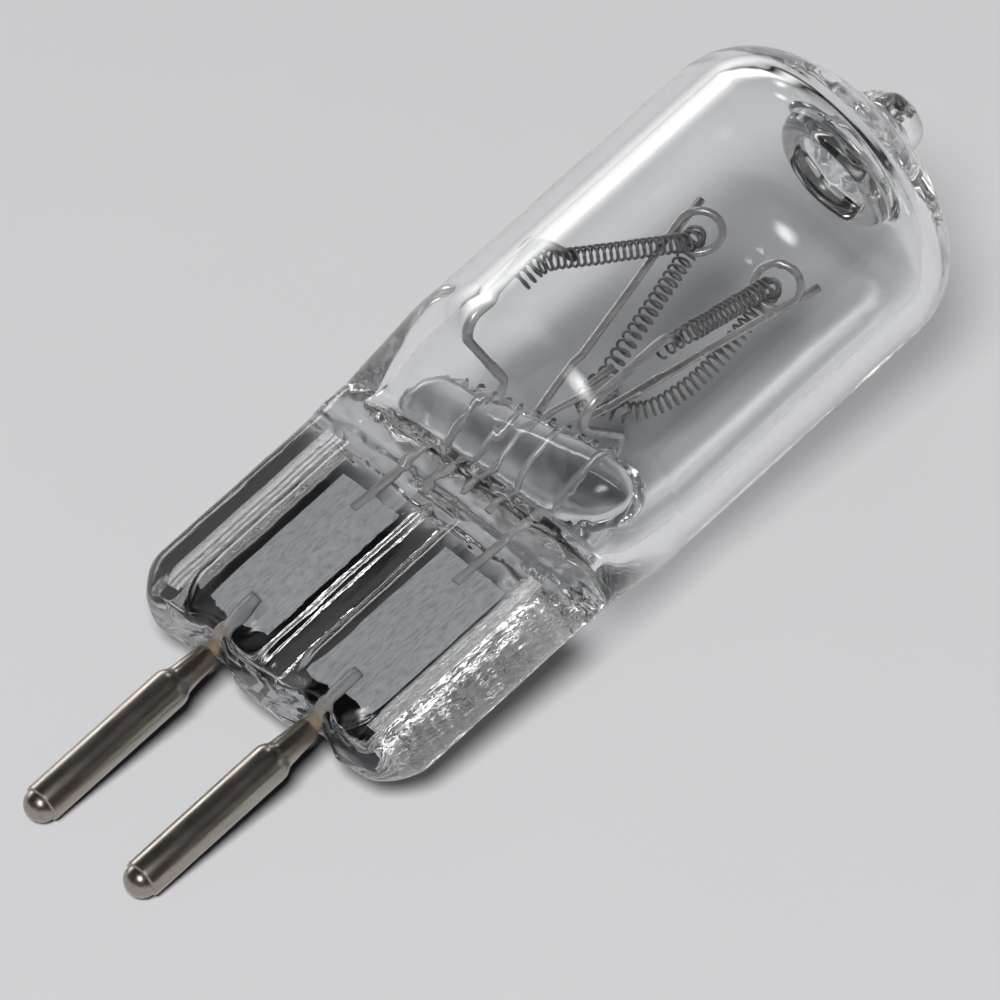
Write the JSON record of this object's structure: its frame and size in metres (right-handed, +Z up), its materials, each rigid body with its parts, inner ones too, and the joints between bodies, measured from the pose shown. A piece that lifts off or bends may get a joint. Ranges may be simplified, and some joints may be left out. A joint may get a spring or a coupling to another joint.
{
  "type": "modeling lamp bulb",
  "caption": "Clear quartz halogen capsule bulb with a pressed flat base, contact pins and a coiled filament hung on wire hooks, used as a modeling lamp.",
  "frame": {"origin": "middle of the bottom of the bounding box, on the surface that the bulb lies on", "axes": "+X from the pin tips towards the dome, level with the surface; +Y across the pins, towards the left pin seen from the pin end looking towards the dome; +Z up"},
  "size_m": [0.0422, 0.0142, 0.0158],
  "materials": {
    "quartz": "clear polished fused quartz",
    "nickel": "satin nickel grey",
    "heat_tinted_wire": "satin, tinted brown by heat",
    "foil": "matt grey foil",
    "grey_wire": "satin grey wire",
    "coil": "dark drawn wire"
  },
  "bodies": {
    "root": {"quartz_envelope": "quartz", "quartz_bridge": "quartz", "pin_sleeve_left": "nickel", "pin_sleeve_right": "nickel", "outer_lead_left": "heat_tinted_wire", "outer_lead_right": "heat_tinted_wire", "foil_left": "foil", "foil_right": "foil", "inner_lead_left": "grey_wire", "inner_lead_right": "grey_wire", "hook_support_left": "grey_wire", "hook_support_right": "grey_wire", "centre_anchor": "grey_wire", "filament": "coil"}
  },
  "joints": []
}
